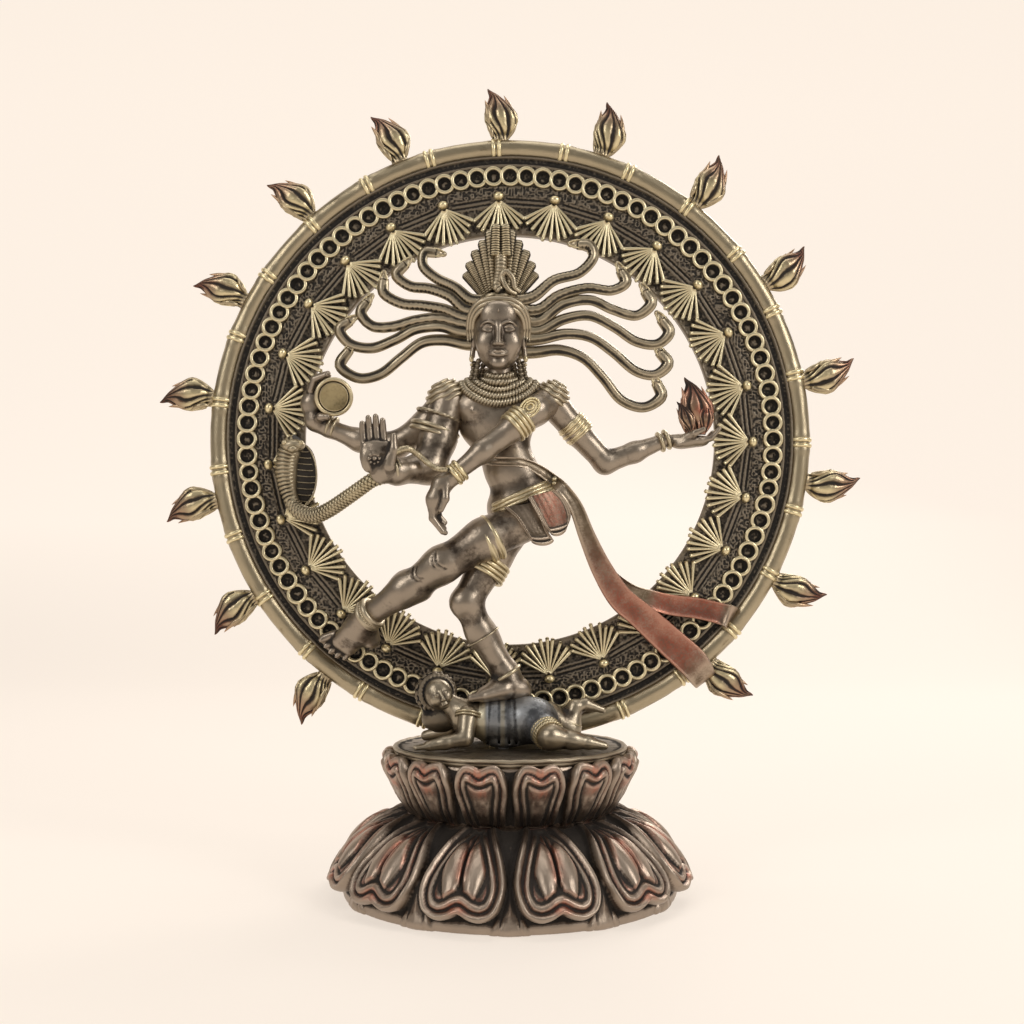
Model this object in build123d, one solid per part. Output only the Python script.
from build123d import *
import math
import os

# Nataraja statue: a dancing four-armed figure inside a ring of flames, standing on a
# crouching dwarf and a double lotus base. Millimetres, +Z up, viewer at -Y.
# The origin is the centre of the felt face that the statue rests on.

# ------------------------------------------------------------------ base
PAD_RADIUS = 50.0
PAD_THICKNESS = 1.5
LOWER_FOOT_Z = 0.3            # underside of the lower lotus, just above the felt face
LOWER_PETALS = 12
LOWER_PROFILE = [(54.6, LOWER_FOOT_Z), (56.0, 4.0), (56.6, 8.6), (50.2, 14.3), (42.6, 20.0), (32.6, 25.0)]
UPPER_PETALS = 14
UPPER_PROFILE = [(32.2, 25.0), (34.6, 29.0), (37.9, 33.5), (40.6, 40.4), (37.4, 44.0)]
PETAL_DIP = 1.8               # depth of the valley between two petals
WALL = 4.0
PLATE_RADIUS = 37.0
PLATE_TOP_Z = 46.5
PLATE_THICKNESS = 2.5
BOLT_RADIUS = 3.0
BOLT_HEAD_RADIUS = 5.0
BOLT_HEAD_HEIGHT = 3.2
WASHER_RADIUS = 8.0
WASHER_THICKNESS = 1.2
BOLT_SEAT_Z = 18.0            # roof of the hollow that the washer bears on
DOWEL_RADIUS = 1.2
DOWEL_LENGTH = 9.0
DOWEL_SPACING = 14.0

# ------------------------------------------------------------------ ring of flames
RING_Y = 12.0
RING_Z = 145.0
PLATE_INNER_R = 67.5
PLATE_OUTER_R = 92.6
RING_THICKNESS = 5.0
TUBE_R = 95.7                 # centre line of the bamboo-like rim tube
TUBE_MINOR_R = 3.3
BANDS = 27                    # pairs of bands on the tube, one pair over each fan
BAND_WIDTH = 1.3
BAND_GAP = 0.5
BAND_RISE = 0.45
FIRST_FAN_ANGLE = -2.7        # clockwise from the top, seen from the front
CIRCLETS = 100
CIRCLET_R = 86.2
CIRCLET_OUTER = 3.4
CIRCLET_HOLE = 2.2
CIRCLET_RISE = 1.2
BEAD_R = 79.6
BEAD_RADIUS = 1.7
RAY_APEX_R = 78.0
RAY_LENGTH = 11.4
RAY_COUNT = 9
RAY_SPREAD = 50.0             # half angle of one fan
RAY_RISE = 1.0
FLAMES = 15
FLAME_STEP = 20.0
FLAME_SKEW = -2.0
FLAME_ROOT_R = 98.2
FLAME_LENGTH = 18.4
FLAME_WIDTH = 10.8
FLAME_DEPTH = 7.0

# ------------------------------------------------------------------ dancer's skeleton
# Joint centres: x to the right, y into the ring, z above the ring's centre.
NECK = (-3.2, -2.0, 18.2)
CHEST = (-3.8, -3.0, 7.2)
WAIST = (-0.6, -3.0, -7.4)
PELVIS = (5.4, -3.0, -21.6)
HEAD = (-3.1, -5.0, 31.5)
SHOULDER_LEFT = (-20.0, -3.0, 11.1)
SHOULDER_RIGHT = (12.4, -3.0, 11.7)
DRUM_ARM = [SHOULDER_LEFT, (-36.0, 1.0, -4.3), (-58.5, 1.5, 3.1), (-63.0, 1.5, 10.5)]
DRUM_ARM_R = [4.8, 3.9, 2.5, 3.2]
BLESSING_ARM = [SHOULDER_LEFT, (-23.0, -6.0, -10.2), (-37.0, -17.0, -14.0)]
BLESSING_ARM_R = [4.8, 4.0, 2.5]
BLESSING_PALM = (-40.6, -18.5, -6.5)
FLAME_ARM = [SHOULDER_RIGHT, (29.8, 0.0, -9.3), (49.9, 1.5, -1.0), (58.0, 1.5, 0.6)]
FLAME_ARM_R = [4.8, 3.9, 2.4, 3.0]
POINTING_ARM = [
    SHOULDER_RIGHT, (0.6, -15.0, -0.2), (-17.4, -17.0, -14.8), (-21.3, -17.0, -21.8),
    (-20.2, -16.5, -30.9),
]
POINTING_ARM_R = [4.8, 3.9, 2.4, 3.0, 1.5]
STANDING_LEG = [(-1.0, -3.0, -27.0), (-14.3, -9.0, -53.6), (-0.6, -6.0, -77.0)]
STANDING_LEG_R = [7.4, 5.2, 3.0]
STANDING_FOOT = [(2.0, -6.2, -80.3), (-10.4, -11.3, -82.0)]
STANDING_FOOT_R = [2.7, 2.3]
RAISED_LEG = [(11.0, -5.0, -25.0), (-22.9, -12.0, -41.8), (-45.1, -3.0, -58.8)]
RAISED_LEG_R = [7.2, 5.2, 2.8]
RAISED_FOOT = [(-46.5, -1.0, -60.4), (-56.2, 3.0, -65.6)]
RAISED_FOOT_R = [2.7, 2.2]
TORSO_SECTIONS = [            # centre x, half width, half depth, height above the ring's centre
    (4.6, 8.0, 6.6, -31.0),
    (5.2, 12.6, 8.2, -22.5),
    (2.4, 10.2, 7.2, -14.0),
    (-0.6, 8.6, 6.2, -7.4),
    (-3.0, 12.6, 7.0, 2.5),
    (-3.8, 15.4, 7.2, 10.0),
    (-3.8, 12.0, 6.0, 15.2),
    (-3.2, 4.3, 4.2, 18.5),
    (-3.1, 3.9, 3.9, 22.0),
]
TORSO_Y = -3.0
HEAD_SIZE = (8.6, 8.4, 12.2)
HEADBAND_R = 8.8
HEADBAND_MINOR = 1.5
HEADBAND_Z = (39.0, 42.4)
CREST_BASE = (-3.0, -3.0, 44.5)
CREST_HEIGHT = 22.6
CREST_RIBS = 11
CREST_SPREAD = 66.0
CREST_DEPTH = 4.4
COBRA_TOP = (-3.4, -4.5, 66.5)
DRUM_CENTRE = (-57.0, -1.5, 12.6)
DRUM_END_R = 6.1
DRUM_WAIST_R = 3.3
DRUM_LENGTH = 12.0
PALM_FLAME_BASE = (58.9, 1.0, 2.0)

# ------------------------------------------------------------------ hair locks and loose pieces
LOCK_RADIUS = 1.45
LOCKS_RIGHT = [
    [(1.0, -2.0, 42.5), (7.5, -1.5, 44.2), (14.0, -1.0, 49.4), (22.0, 0.0, 52.0), (26.6, 0.6, 57.0),
     (25.6, 1.2, 61.0), (21.6, 1.4, 61.6)],
    [(1.0, -2.0, 40.0), (9.0, -1.5, 40.0), (15.6, -1.0, 44.6), (24.5, 0.0, 47.2), (32.4, 0.6, 46.6),
     (37.0, 1.0, 49.2), (35.6, 1.4, 53.2)],
    [(1.0, -2.0, 37.0), (9.0, -1.5, 36.2), (16.6, -1.0, 41.6), (25.5, 0.0, 43.4), (33.0, 0.4, 40.4),
     (40.4, 0.8, 38.6), (45.2, 1.0, 42.4), (43.4, 1.4, 46.6)],
    [(1.0, -2.0, 33.5), (9.0, -1.5, 33.0), (17.0, -1.0, 37.0), (25.5, 0.0, 38.4), (33.4, 0.4, 34.8),
     (40.2, 0.8, 30.4), (47.0, 1.0, 29.4), (51.0, 1.2, 33.2), (48.6, 1.4, 37.6)],
    [(1.0, -2.0, 30.5), (9.0, -1.5, 30.6), (18.0, -1.0, 32.4), (26.0, 0.0, 31.4), (33.0, 0.4, 26.8),
     (40.0, 0.8, 21.0), (46.4, 1.0, 19.6), (50.6, 1.2, 23.2), (48.0, 1.4, 27.2)],
    [(1.0, -1.0, 26.5), (8.0, -0.5, 26.6), (16.0, 0.0, 27.4), (23.6, 0.2, 24.8), (29.8, 0.4, 18.6),
     (35.6, 0.8, 11.6), (42.8, 1.0, 9.2), (48.4, 1.2, 12.6), (47.0, 1.4, 17.2)],
]
LOCKS_LEFT = [
    [(-7.0, -2.0, 42.5), (-12.6, -1.5, 43.2), (-17.6, -1.0, 47.2), (-23.6, 0.0, 50.4),
     (-27.8, 0.6, 54.4), (-27.4, 1.2, 58.8), (-23.6, 1.4, 58.8)],
    [(-7.0, -2.0, 40.0), (-14.0, -1.5, 40.0), (-19.2, -1.0, 44.4), (-25.6, 0.0, 47.0),
     (-32.0, 0.6, 48.0), (-36.4, 1.0, 51.6), (-33.6, 1.4, 55.2)],
    [(-7.0, -2.0, 37.5), (-14.6, -1.5, 37.6), (-21.0, -1.0, 40.2), (-28.0, 0.0, 41.6),
     (-34.6, 0.6, 42.4), (-40.2, 1.0, 45.6), (-40.6, 1.4, 50.2)],
    [(-7.0, -2.0, 34.5), (-14.8, -1.5, 35.6), (-22.6, -1.0, 37.4), (-30.4, 0.0, 36.8),
     (-37.4, 0.4, 35.0), (-44.0, 0.8, 35.2), (-47.8, 1.2, 39.4), (-45.8, 1.4, 43.2)],
    [(-7.0, -2.0, 32.0), (-14.8, -1.5, 32.8), (-22.6, -1.0, 34.8), (-30.4, 0.0, 34.0),
     (-37.2, 0.4, 30.6), (-44.2, 0.8, 28.2), (-51.0, 1.0, 29.4), (-54.6, 1.2, 34.0),
     (-51.4, 1.4, 37.0)],
    [(-7.0, -1.0, 29.5), (-13.6, -0.5, 29.2), (-21.0, 0.0, 30.6), (-28.2, 0.2, 29.8),
     (-35.0, 0.4, 24.8), (-41.6, 0.8, 19.8), (-48.6, 1.0, 18.6), (-54.4, 1.2, 22.6),
     (-51.6, 1.4, 27.8)],
]
SNAKE_PATH = [
    (-39.6, -14.0, -14.6), (-48.0, -9.5, -19.2), (-57.0, -4.0, -24.2), (-66.0, 1.0, -24.6),
    (-71.8, 3.2, -18.8), (-72.4, 3.8, -10.0), (-70.2, 3.4, -3.0),
]
SNAKE_RADIUS = 2.3
SASH_PATH = [
    (10.0, -8.0, -8.0), (17.2, -8.0, -14.2), (22.9, -6.0, -25.0), (29.3, -3.4, -37.6),
    (37.8, 0.0, -49.0),
]
SASH_WIDTH = 6.0
TAIL_LOWER = [(36.8, -0.6, -47.4), (46.0, 3.0, -59.0), (60.5, 6.6, -73.0)]
TAIL_UPPER = [(36.2, -0.4, -47.0), (46.8, 3.4, -52.6), (58.2, 6.4, -54.2), (71.5, 7.0, -56.6)]
TAIL_WIDTH = 7.6
CLOTH_THICKNESS = 1.4

# ------------------------------------------------------------------ dwarf, heights above the ring's centre
DWARF_HEAD = (-22.9, -8.0, -80.6)
DWARF_HEAD_R = 5.4
DWARF_NECK = (-17.5, -8.6, -84.6)
DWARF_SPINE = [(-13.5, -9.0, -87.6), (-2.0, -7.5, -90.0), (10.0, -7.5, -90.6)]
DWARF_SPINE_R = [6.0, 6.8, 7.2]
DWARF_ARM_NEAR = [(-13.0, -13.0, -88.2), (-9.5, -16.0, -95.0), (-24.0, -18.0, -96.2)]
DWARF_ARM_FAR = [(-14.0, -5.0, -88.0), (-19.0, 0.0, -94.6), (-27.0, 2.0, -95.8)]
DWARF_ARM_R = [2.9, 2.4, 1.9]
DWARF_LEG_NEAR = [(9.5, -11.0, -91.2), (15.0, -20.0, -94.2), (27.0, -17.5, -95.6)]
DWARF_LEG_FAR = [(11.0, -5.0, -90.6), (20.0, -4.0, -84.6), (23.0, -3.0, -94.0)]
DWARF_LEG_R = [4.6, 3.6, 2.3]


# ------------------------------------------------------------------ helpers
def lift(point):
    """A point given from the ring's centre, in the statue's own frame."""
    return Vector(point[0], point[1], RING_Z + point[2])


def fused(pieces):
    """One solid from overlapping pieces."""
    return pieces[0].fuse(*pieces[1:]) if len(pieces) > 1 else pieces[0]


def bone(start, end, r_start, r_end):
    """A tapered bar with a ball at each end, turned about its own axis."""
    along = lift(end) - lift(start)
    length = along.length
    root = ThreePointArc((0, -r_start), (r_start * math.sqrt(0.5), -r_start * math.sqrt(0.5)), (r_start, 0))
    side = Line((r_start, 0), (r_end, length))
    diagonal = r_end * math.sqrt(0.5)
    tip = ThreePointArc((r_end, length), (diagonal, length + diagonal), (0, length + r_end))
    axis = Line((0, length + r_end), (0, -r_start))
    turned_bar = revolve(make_face([root, side, tip, axis]), Axis.Y).solid()
    place = Plane(origin=lift(start), z_dir=along)
    return turned_bar.rotate(Axis.X, 90).moved(place.location)


def limb(points, radii):
    """A chain of bones. At a shared joint the second ball is a little larger than the first."""
    pieces = []
    for start, end, r_start, r_end in zip(points, points[1:], radii, radii[1:]):
        grown = r_start * (1.02 if pieces else 1.0)
        pieces.append(bone(start, end, grown, r_end))
    return fused(pieces)


def bend_radii(points):
    """The largest arcs that two neighbouring runs leave room for, one for each corner."""
    radii = []
    for before, corner, after in zip(points, points[1:], points[2:]):
        run_in = corner - before
        run_out = after - corner
        half_turn = math.radians(run_in.get_angle(run_out)) / 2.0
        shorter = min(run_in.length, run_out.length)
        radii.append(0.44 * shorter / math.tan(half_turn))
    return radii


def tube(points, radius):
    """A round bar along straight runs joined by tangent arcs."""
    route = [lift(p) for p in points]
    path = FilletPolyline(*route, radius=bend_radii(route))
    section = Plane(origin=path @ 0, z_dir=path % 0) * Circle(radius)
    return sweep(section, path=path).solid()


def strip(points, width, thickness):
    """A flat bar along straight runs joined by arcs, its broad side turned to the viewer."""
    route = [lift(p) for p in points]
    path = FilletPolyline(*route, radius=bend_radii(route))
    across = (path % 0).cross(Vector(0, 1, 0))
    section = Plane(origin=path @ 0, x_dir=across, z_dir=path % 0) * Rectangle(width, thickness)
    return sweep(section, path=path).solid()


def ball(point, radius):
    return Solid.make_sphere(radius, angle1=-90, angle2=90).moved(Location(lift(point)))


def egg(point, half_sizes, tilt=0.0):
    """An ellipsoid, tilted in the plane of the ring."""
    unit = Solid.make_sphere(1.0, angle1=-90, angle2=90)
    return scale(unit, by=half_sizes).moved(Location(lift(point), (0, tilt, 0)))


def along_limb(start, end, share):
    return tuple(a + share * (b - a) for a, b in zip(start, end))


def collar(start, end, share, radius, width, rise):
    """A sleeve on a limb, its bore a little inside the limb's surface."""
    axis = lift(end) - lift(start)
    centre = lift(along_limb(start, end, share))
    plane = Plane(origin=centre - axis.normalized() * (width / 2.0), z_dir=axis)
    outer = Solid.make_cylinder(radius + rise, width, plane)
    bore = Solid.make_cylinder(radius * 0.86, width * 3.0, plane.offset(-width))
    return outer - bore


def scallop(radius, height, petals, dip):
    """A closed petalled outline: each petal bulges and a valley divides it from the next."""
    points = []
    per_petal = 6
    for index in range(petals * per_petal):
        turn = index / per_petal
        bulge = abs(math.cos(math.pi * turn))
        reach = radius - dip * (1.0 - bulge)
        angle = math.radians(-90.0) + 2.0 * math.pi * (turn + 0.5) / petals
        points.append((reach * math.cos(angle), reach * math.sin(angle), height))
    return Face(Wire([Edge.make_spline([Vector(*p) for p in points], periodic=True)]))


def lotus(profile, petals, dips):
    sections = [scallop(radius, height, petals, dip) for (radius, height), dip in zip(profile, dips)]
    return Solid.make_loft([face.outer_wire() for face in sections])


def turned(profile):
    """A solid of revolution about the vertical axis from (radius, height) corners."""
    outline = Polyline(*[(r, 0, z) for r, z in profile], close=True)
    return revolve(make_face(outline), Axis.Z).solid()


def ring_point(radius, clockwise):
    """A point of the ring's plane: distance from the centre and angle clockwise from the top."""
    angle = math.radians(clockwise)
    return Vector(radius * math.sin(angle), RING_Y, RING_Z + radius * math.cos(angle))


RING_PLANE = Plane(origin=(0, RING_Y, RING_Z), x_dir=(1, 0, 0), z_dir=(0, -1, 0))
RING_FACE = RING_PLANE.offset(RING_THICKNESS / 2.0)


def on_face(radius, clockwise):
    """The frame of a detail on the ring's front face: local +Y points away from the centre."""
    angle = math.radians(clockwise)
    return RING_FACE * Location((radius * math.sin(angle), radius * math.cos(angle), 0), (0, 0, -clockwise))


parts = {}

# ------------------------------------------------------------------ base
parts["base_pad"] = Solid.make_cylinder(PAD_RADIUS, PAD_THICKNESS)

lower_dips = [PETAL_DIP, PETAL_DIP, PETAL_DIP * 1.3, PETAL_DIP, PETAL_DIP, 0.6]
lower_outside = lotus(LOWER_PROFILE, LOWER_PETALS, lower_dips)
lower_hollow = turned([
    (0, -1.0), (PAD_RADIUS, -1.0), (PAD_RADIUS, PAD_THICKNESS), (46.0, PAD_THICKNESS),
    (46.0, 8.0), (WASHER_RADIUS + 12.0, BOLT_SEAT_Z), (0, BOLT_SEAT_Z),
])
bolt_hole = Solid.make_cylinder(BOLT_RADIUS, 60.0)
parts["lower_lotus"] = lower_outside - lower_hollow - bolt_hole

upper_outside = lotus(UPPER_PROFILE, UPPER_PETALS, [0.5, PETAL_DIP * 0.7, PETAL_DIP, PETAL_DIP, 0.6])
plate_bottom_z = PLATE_TOP_Z - PLATE_THICKNESS
bolt_top_z = plate_bottom_z - 1.0
parts["upper_lotus"] = upper_outside - Solid.make_cylinder(BOLT_RADIUS, bolt_top_z)

plate = Solid.make_cylinder(PLATE_RADIUS, PLATE_THICKNESS, Plane(origin=(0, 0, plate_bottom_z)))
lip = Torus(PLATE_RADIUS - 0.6, 1.0).solid().moved(Location((0, 0, PLATE_TOP_Z - 0.9)))
parts["top_plate"] = plate.fuse(lip)

bolt_foot_z = BOLT_SEAT_Z - WASHER_THICKNESS
bolt_shank = Solid.make_cylinder(BOLT_RADIUS, bolt_top_z - bolt_foot_z, Plane(origin=(0, 0, bolt_foot_z)))
head_z = BOLT_SEAT_Z - WASHER_THICKNESS - BOLT_HEAD_HEIGHT
bolt_head = extrude(Plane(origin=(0, 0, head_z)) * RegularPolygon(BOLT_HEAD_RADIUS, 6), BOLT_HEAD_HEIGHT)
parts["hold_down_bolt"] = bolt_shank.fuse(bolt_head.solid())
washer_plane = Plane(origin=(0, 0, BOLT_SEAT_Z - WASHER_THICKNESS))
parts["hold_down_washer"] = (
    Solid.make_cylinder(WASHER_RADIUS, WASHER_THICKNESS, washer_plane)
    - Solid.make_cylinder(BOLT_RADIUS, WASHER_THICKNESS, washer_plane)
)

# ------------------------------------------------------------------ ring
tube_torus = RING_PLANE * Torus(TUBE_R, TUBE_MINOR_R)
annulus = Circle(PLATE_OUTER_R) - Circle(PLATE_INNER_R)
back_plane = RING_PLANE.offset(-RING_THICKNESS / 2.0)
ring_body = extrude(back_plane * annulus, RING_THICKNESS)
parts["ring_plate"] = (ring_body - tube_torus).solid()
parts["rim_tube"] = tube_torus.solid()

fan_angles = [FIRST_FAN_ANGLE + 360.0 * index / BANDS for index in range(BANDS)]
bands = []
for clockwise in fan_angles:
    for side in (-1, 1):
        shift = side * math.degrees((BAND_WIDTH + BAND_GAP) / 2.0 / TUBE_R)
        tangent = ring_point(1.0, clockwise + shift + 90.0) - ring_point(0.0, 0.0)
        start = ring_point(TUBE_R, clockwise + shift) - tangent * (BAND_WIDTH / 2.0)
        seat = Plane(origin=start, z_dir=tangent)
        sleeve = Solid.make_cylinder(TUBE_MINOR_R + BAND_RISE, BAND_WIDTH, seat)
        bore = Solid.make_cylinder(TUBE_MINOR_R + 0.02, BAND_WIDTH, seat)
        bands.append(sleeve - bore)
parts["rim_bands"] = Compound(children=bands)

# A circlet ends where it meets the next one, so the chain is a row of touching links.
half_pitch = CIRCLET_R * math.tan(math.pi / CIRCLETS)
flare = CIRCLET_OUTER * math.tan(math.pi / CIRCLETS)
wedge = Polygon(
    (-half_pitch + flare, -CIRCLET_OUTER), (half_pitch - flare, -CIRCLET_OUTER),
    (half_pitch + flare, CIRCLET_OUTER), (-half_pitch - flare, CIRCLET_OUTER), align=None,
)
link = (Circle(CIRCLET_OUTER) & wedge) - Circle(CIRCLET_HOLE)
links = []
for i in range(CIRCLETS):
    spot = on_face(CIRCLET_R, 360.0 * i / CIRCLETS)
    links.append(extrude(spot * link, CIRCLET_RISE, dir=(0, -1, 0)).solid())
parts["circlets"] = Compound(children=links)

beads = []
rays = []
ray_outline = [(-1.5, 0.4)]
for index in range(RAY_COUNT):
    centre = RAY_SPREAD * (2.0 * index / (RAY_COUNT - 1) - 1.0)
    half = RAY_SPREAD / RAY_COUNT * 0.55
    for radius, angle in ((RAY_LENGTH, centre - half), (RAY_LENGTH, centre + half), (3.6, centre + 2.0 * half)):
        ray_outline.append((radius * math.sin(math.radians(angle)), -radius * math.cos(math.radians(angle))))
ray_outline[-1] = (1.5, 0.4)
for clockwise in fan_angles:
    beads.append((on_face(BEAD_R, clockwise) * Sphere(BEAD_RADIUS, arc_size1=0)).solid())
    star = on_face(RAY_APEX_R, clockwise) * make_face(Polyline(*ray_outline, close=True))
    rays.append(extrude(star, RAY_RISE, dir=(0, -1, 0)).solid())
parts["fan_beads"] = Compound(children=[bead - Compound(children=rays) for bead in beads])
parts["fan_rays"] = Compound(children=rays)


def flame(length, width, depth):
    """A bud-shaped flame standing on the origin along +Y, bevelled to the front and the back."""
    half = [(0.15, 0.0), (0.14, 0.06), (0.42, 0.20), (0.50, 0.36), (0.41, 0.58), (0.20, 0.82), (0.02, 1.0)]
    right = [(x * width, y * length) for x, y in half]
    left = [(-x, y) for x, y in reversed(right)]
    outline = make_face(Polyline(*right, *left, close=True))
    front = extrude(outline, depth / 2.0, taper=12).solid()
    back = extrude(outline, -depth / 2.0, taper=12).solid()
    return front.fuse(back).solid()


bud = flame(FLAME_LENGTH, FLAME_WIDTH, FLAME_DEPTH)
for index in range(FLAMES):
    clockwise = FLAME_SKEW + FLAME_STEP * (index - FLAMES // 2)
    place = RING_PLANE * Location(
        (FLAME_ROOT_R * math.sin(math.radians(clockwise)), FLAME_ROOT_R * math.cos(math.radians(clockwise)), 0),
        (0, 0, -clockwise),
    )
    parts[f"flame_{index + 1:02d}"] = place * bud

# ------------------------------------------------------------------ dancer: trunk and head
sections = []
for x, half_width, half_depth, height in TORSO_SECTIONS:
    level = Plane(origin=(x, TORSO_Y, RING_Z + height))
    sections.append((level * Ellipse(half_width, half_depth)).face().outer_wire())
parts["torso"] = Solid.make_loft(sections)

skull = egg(HEAD, HEAD_SIZE)
jaw = egg((HEAD[0], HEAD[1] - 1.0, HEAD[2] - 6.5), (6.2, 6.2, 7.0))
nose_foot = lift((HEAD[0], HEAD[1] - 8.0, HEAD[2] - 3.6))
nose = Solid.make_cone(1.7, 0.6, 6.0, plane=Plane(origin=nose_foot, z_dir=(0, 0.25, 1)))
ears = [egg((HEAD[0] + side * 8.6, HEAD[1] + 0.6, HEAD[2] - 3.0), (1.5, 2.2, 4.4)) for side in (-1, 1)]
parts["head"] = fused([skull, jaw, nose] + ears)

band_tori = []
for height in HEADBAND_Z:
    band = Torus(HEADBAND_R - 0.35 * (height - HEADBAND_Z[0]), HEADBAND_MINOR).solid()
    band_tori.append(band.moved(Location(lift((HEAD[0], HEAD[1] + 0.4, height)), (-12, 0, 0))))
parts["headband"] = fused(band_tori)

crest_outline = [(-4.6, -1.0)]
for index in range(2 * CREST_RIBS - 1):
    lean = math.radians(CREST_SPREAD * (index / (CREST_RIBS - 1) - 1.0))
    length = CREST_HEIGHT * (1.0 - 0.42 * abs(math.sin(lean)) ** 1.5) - (1.6 if index % 2 else 0.0)
    crest_outline.append((length * math.sin(lean) * 0.8, length * math.cos(lean)))
crest_outline.append((4.6, -1.0))
crest_plane = Plane(origin=lift(CREST_BASE), x_dir=(1, 0, 0), z_dir=(0, -1, 0))
crest_sheet = make_face(Polyline(*crest_outline, close=True))
parts["crest_fan"] = extrude(crest_plane * crest_sheet, CREST_DEPTH / 2.0, both=True).solid()
cobra_foot = (CREST_BASE[0], -7.5, CREST_BASE[2] + 1.0)
parts["crest_cobra"] = limb([cobra_foot, (COBRA_TOP[0], -6.0, 58.0), COBRA_TOP], [2.2, 2.6, 2.0])

# ------------------------------------------------------------------ dancer: hair locks
for name, locks in (("hair_locks_left", LOCKS_LEFT), ("hair_locks_right", LOCKS_RIGHT)):
    solids = []
    for route in locks:
        snake_head = ball(route[-1], LOCK_RADIUS * 1.35)
        solids.append(tube(route, LOCK_RADIUS).fuse(snake_head))
    parts[name] = Compound(children=solids)

# ------------------------------------------------------------------ dancer: limbs
parts["drum_arm"] = limb(DRUM_ARM, DRUM_ARM_R)
parts["flame_arm"] = limb(FLAME_ARM, FLAME_ARM_R)
parts["pointing_arm"] = limb(POINTING_ARM, POINTING_ARM_R)
palm = egg(BLESSING_PALM, (4.2, 1.9, 6.4))
fingers = []
for index, reach in enumerate((8.6, 9.8, 10.6, 9.4)):
    root = (BLESSING_PALM[0] + 3.0 - 2.0 * index, BLESSING_PALM[1], BLESSING_PALM[2] + 2.0)
    tip = (root[0] - 0.5, root[1] - 0.3, root[2] + reach)
    fingers.append(limb([root, tip], [1.1, 0.85]))
thumb_root = (BLESSING_PALM[0] + 3.0, BLESSING_PALM[1] - 0.5, BLESSING_PALM[2] - 1.5)
thumb = limb([thumb_root, (thumb_root[0] + 2.6, thumb_root[1] - 0.6, thumb_root[2] + 5.6)], [1.4, 0.9])
wrist_to_palm = limb([BLESSING_ARM[2], BLESSING_PALM], [2.4, 2.0])
parts["blessing_arm"] = fused([limb(BLESSING_ARM, BLESSING_ARM_R), wrist_to_palm, palm, thumb] + fingers)
standing_foot = limb([STANDING_LEG[2]] + STANDING_FOOT, [3.0] + STANDING_FOOT_R)
parts["standing_leg"] = fused([limb(STANDING_LEG, STANDING_LEG_R), standing_foot])
raised_foot = limb([RAISED_LEG[2]] + RAISED_FOOT, [2.8] + RAISED_FOOT_R)
parts["raised_leg"] = fused([limb(RAISED_LEG, RAISED_LEG_R), raised_foot])

# ------------------------------------------------------------------ things the hands hold
drum_end = DRUM_LENGTH / 2
drum_profile = [
    (0, -drum_end), (DRUM_END_R, -drum_end), (DRUM_END_R, -drum_end + 1.6), (DRUM_WAIST_R, 0),
    (DRUM_END_R, drum_end - 1.6), (DRUM_END_R, drum_end), (0, drum_end),
]
parts["drum"] = turned(drum_profile).moved(Location(lift(DRUM_CENTRE), (78, 0, 24)))
palm_place = Plane(origin=lift(PALM_FLAME_BASE), x_dir=(1, 0, 0), z_dir=(0, -1, 0))
parts["palm_flame"] = palm_place * flame(17.0, 11.5, 6.5)

# ------------------------------------------------------------------ jewellery
neck_rings = []
for drop, major in ((0.0, 5.4), (-2.6, 7.8), (-5.2, 10.4)):
    place = Location(lift((NECK[0], TORSO_Y - 1.0, NECK[2] + drop)), (24, 0, 0))
    neck_rings.append(scale(Torus(major, 0.9).solid(), by=(1.0, 0.72, 1.0)).moved(place))
parts["necklace"] = Compound(children=neck_rings)
parts["shoulder_guards"] = Compound(children=[
    egg((SHOULDER_LEFT[0] - 0.4, SHOULDER_LEFT[1] - 1.0, SHOULDER_LEFT[2] + 1.6), (5.4, 5.4, 3.6), 40.0),
    egg((SHOULDER_RIGHT[0] + 1.0, SHOULDER_RIGHT[1] - 1.0, SHOULDER_RIGHT[2] + 1.6), (5.4, 5.4, 3.6), -40.0),
])
parts["armlets"] = Compound(children=[
    collar(DRUM_ARM[0], DRUM_ARM[1], 0.62, 4.2, 2.6, 0.7),
    collar(FLAME_ARM[0], FLAME_ARM[1], 0.5, 4.3, 2.6, 0.7),
    collar(POINTING_ARM[0], POINTING_ARM[1], 0.42, 4.4, 2.6, 0.7),
    collar(BLESSING_ARM[0], BLESSING_ARM[1], 0.55, 4.3, 2.6, 0.7),
])
parts["bracelets"] = Compound(children=[
    collar(DRUM_ARM[1], DRUM_ARM[2], 0.9, 2.6, 2.2, 0.8),
    collar(FLAME_ARM[1], FLAME_ARM[2], 0.88, 2.6, 2.2, 0.8),
    collar(POINTING_ARM[1], POINTING_ARM[2], 0.86, 2.6, 2.2, 0.8),
    collar(BLESSING_ARM[1], BLESSING_ARM[2], 0.84, 2.7, 2.2, 0.8),
])
parts["anklets"] = Compound(children=[
    collar(STANDING_LEG[1], STANDING_LEG[2], 0.9, 3.1, 2.4, 0.8),
    collar(RAISED_LEG[1], RAISED_LEG[2], 0.86, 3.0, 2.4, 0.8),
])
parts["leg_bands"] = Compound(children=[
    collar(STANDING_LEG[0], STANDING_LEG[1], 0.3, 6.8, 3.0, 0.6),
    collar(STANDING_LEG[0], STANDING_LEG[1], 0.78, 5.7, 1.2, 0.5),
    collar(RAISED_LEG[0], RAISED_LEG[1], 0.52, 6.2, 2.6, 0.6),
])

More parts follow.
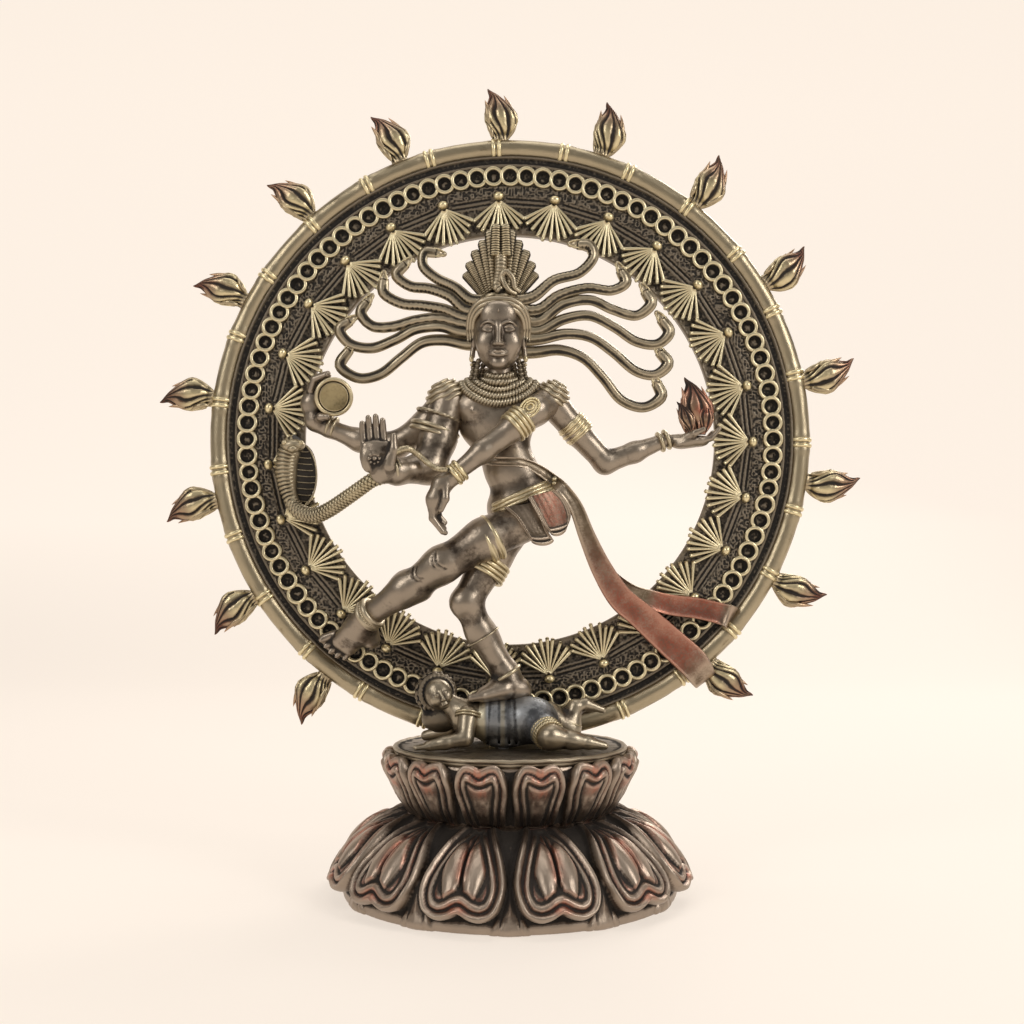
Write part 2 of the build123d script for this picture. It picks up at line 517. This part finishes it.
# ------------------------------------------------------------------ dress
belt_place = Location(lift((4.4, TORSO_Y, -18.4)), (0, 24, 0))
parts["belt"] = scale(Torus(11.2, 1.6).solid(), by=(1.0, 0.7, 1.0)).moved(belt_place)
front_plane = Plane(origin=lift((9.6, -12.2, -24.0)), x_dir=(1, 0, 0), z_dir=(0, -1, 0))
side_plane = Plane(origin=lift((15.2, -9.4, -22.8)), x_dir=(1, -0.6, 0), z_dir=(-0.6, -1, 0))
flap_front = extrude(front_plane * Ellipse(4.6, 6.4), CLOTH_THICKNESS, both=True)
flap_side = extrude(side_plane * Ellipse(3.6, 5.8), CLOTH_THICKNESS, both=True)
parts["skirt_flaps"] = Compound(children=[flap_front.solid(), flap_side.solid()])
waist_torus = scale(Torus(8.9, 1.5).solid(), by=(1.0, 0.76, 1.4))
waist_band = waist_torus.moved(Location(lift((0.6, TORSO_Y, -8.6)), (0, 8, 0)))
parts["waist_sash"] = fused([waist_band, strip(SASH_PATH, SASH_WIDTH, CLOTH_THICKNESS)])
lower_tail = strip(TAIL_LOWER, TAIL_WIDTH, CLOTH_THICKNESS)
upper_tail = strip(TAIL_UPPER, TAIL_WIDTH * 0.9, CLOTH_THICKNESS)
parts["sash_tails"] = Compound(children=[lower_tail, upper_tail])
hood = egg((SNAKE_PATH[-1][0], SNAKE_PATH[-1][1] - 0.4, SNAKE_PATH[-1][2] - 4.0), (5.0, 2.0, 8.0), -8.0)
parts["arm_snake"] = fused([tube(SNAKE_PATH, SNAKE_RADIUS), hood, ball(SNAKE_PATH[-1], 3.0)])

# ------------------------------------------------------------------ dwarf under the dancer
parts["dwarf_body"] = limb(DWARF_SPINE, DWARF_SPINE_R)
parts["dwarf_head"] = bone(DWARF_HEAD, DWARF_NECK, DWARF_HEAD_R, 3.4)
dwarf_hair_centre = lift((DWARF_HEAD[0] + 0.6, DWARF_HEAD[1] + 2.0, DWARF_HEAD[2]))
parts["dwarf_hair"] = Torus(DWARF_HEAD_R + 0.2, 1.5).solid().moved(Location(dwarf_hair_centre, (78, 0, 0)))
parts["dwarf_arms"] = Compound(children=[limb(DWARF_ARM_NEAR, DWARF_ARM_R), limb(DWARF_ARM_FAR, DWARF_ARM_R)])
parts["dwarf_legs"] = Compound(children=[limb(DWARF_LEG_NEAR, DWARF_LEG_R), limb(DWARF_LEG_FAR, DWARF_LEG_R)])

# ------------------------------------------------------------------ pins between base, ring and figure
dowels = []
for side in (-1, 1):
    foot = Plane(origin=(side * DOWEL_SPACING / 2.0, RING_Y, PLATE_TOP_Z - DOWEL_LENGTH / 2.0))
    dowels.append(Solid.make_cylinder(DOWEL_RADIUS, DOWEL_LENGTH, foot))
parts["ring_dowels"] = Compound(children=dowels)
figure_dowel_foot = Plane(origin=(-2.0, -7.5, PLATE_TOP_Z - 4.5))
parts["figure_dowel"] = Solid.make_cylinder(DOWEL_RADIUS * 1.4, 10.0, figure_dowel_foot)

# ------------------------------------------------------------------ write one file for each piece
os.makedirs("parts", exist_ok=True)
for name, shape in parts.items():
    export_step(shape, f"parts/{name}.step")
print(len(parts), "nodes written")
